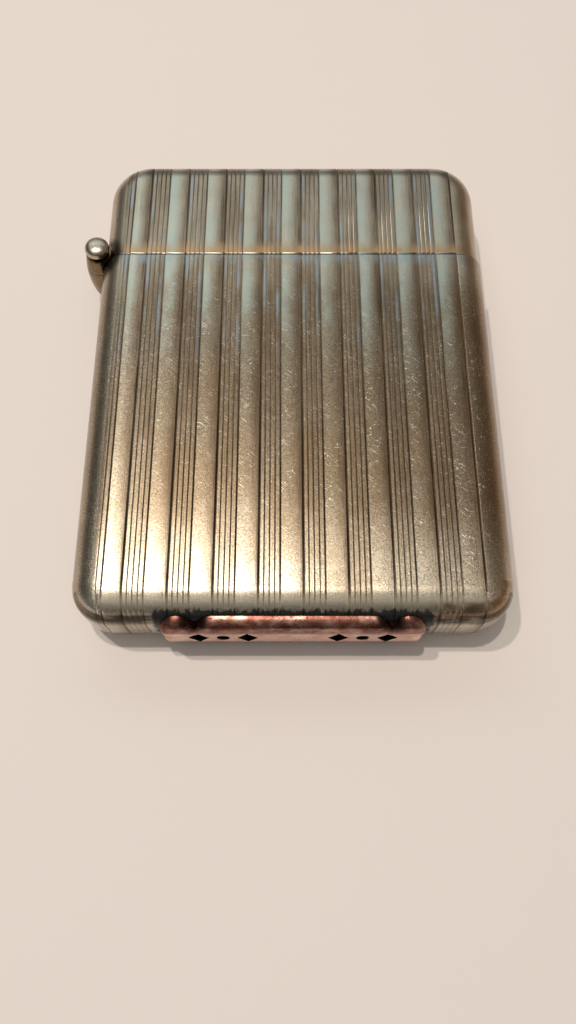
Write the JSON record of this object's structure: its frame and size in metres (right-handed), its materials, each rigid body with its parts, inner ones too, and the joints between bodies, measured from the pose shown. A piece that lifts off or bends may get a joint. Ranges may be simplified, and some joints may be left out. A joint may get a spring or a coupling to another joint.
{
  "type": "petrol lighter",
  "caption": "Slim pocket petrol lighter in a flat striped metal case with rounded edges, a side-hinged lid over wick and spark wheel, and a copper plaque on the foot.",
  "frame": {"origin": "middle of the back face, on the surface that the lighter lies on", "axes": "+X to the right away from the hinge, +Y from the foot to the lid, +Z out of the front face"},
  "size_m": [0.0473, 0.0587, 0.0099],
  "materials": {
    "nickel_silver": "pressed nickel silver, hand worn",
    "copper": "soldered copper plate, tarnished at the edges",
    "brass": "drawn and turned brass",
    "steel": "hardened steel",
    "spring_steel": "tempered spring steel",
    "cotton": "cotton",
    "flint_metal": "cerium iron",
    "leather": "punched leather"
  },
  "bodies": {
    "case": {"case_shell": "nickel_silver", "case_collar": "nickel_silver", "foot_plaque": "copper", "case_knuckle": "nickel_silver", "hinge_pin": "nickel_silver", "lid_spring": "spring_steel", "tank_shell": "brass", "tank_floor": "brass", "tank_top": "brass", "tank_wadding": "cotton", "wick_tube": "brass", "wick": "cotton", "flint_tube": "brass", "flint_spring": "spring_steel", "flint_screw": "brass", "wheel_cheek_front": "brass", "wheel_cheek_back": "brass", "wheel_axle": "steel"},
    "lid": {"lid_shell": "nickel_silver", "lid_knuckle_front": "nickel_silver", "lid_knuckle_back": "nickel_silver", "snuffer_cap": "brass"},
    "wheel": {"spark_wheel": "steel", "wheel_rim_front": "brass", "wheel_rim_back": "brass"},
    "flint": {"flint": "flint_metal", "flint_plunger": "brass"},
    "washer": {"filler_washer": "leather"},
    "filler": {"filler_screw": "brass"}
  },
  "joints": [
    {"name": "lid_hinge", "type": "hinge", "parent": "case", "child": "lid", "pos_m": [-0.0229, 0.0154, 0.0048], "axis": [0, 0, 1], "range_deg": [0, 110], "deforming": ["lid_spring"]},
    {"name": "wheel_spin", "type": "hinge", "parent": "case", "child": "wheel", "pos_m": [0.009, 0.0193, 0.0048], "axis": [0, 0, 1], "continuous": true},
    {"name": "flint_slide", "type": "slide", "parent": "case", "child": "flint", "axis": [0, -1, 0], "range_m": [0, 0.002], "stiffness_N_per_m": 20, "springref_m": -0.004, "deforming": ["flint_spring"]},
    {"name": "filler_lift", "type": "slide", "parent": "case", "child": "washer", "axis": [0, 1, 0], "range_m": [0, 0.003]},
    {"name": "filler_turn", "type": "hinge", "parent": "washer", "child": "filler", "pos_m": [-0.011, 0.0153, 0.0048], "axis": [0, 1, 0], "range_deg": [0, 1441]}
  ],
  "couplings": [
    {"joint": "filler_turn", "follows": "filler_lift", "rad_per_m": 8377.6}
  ]
}
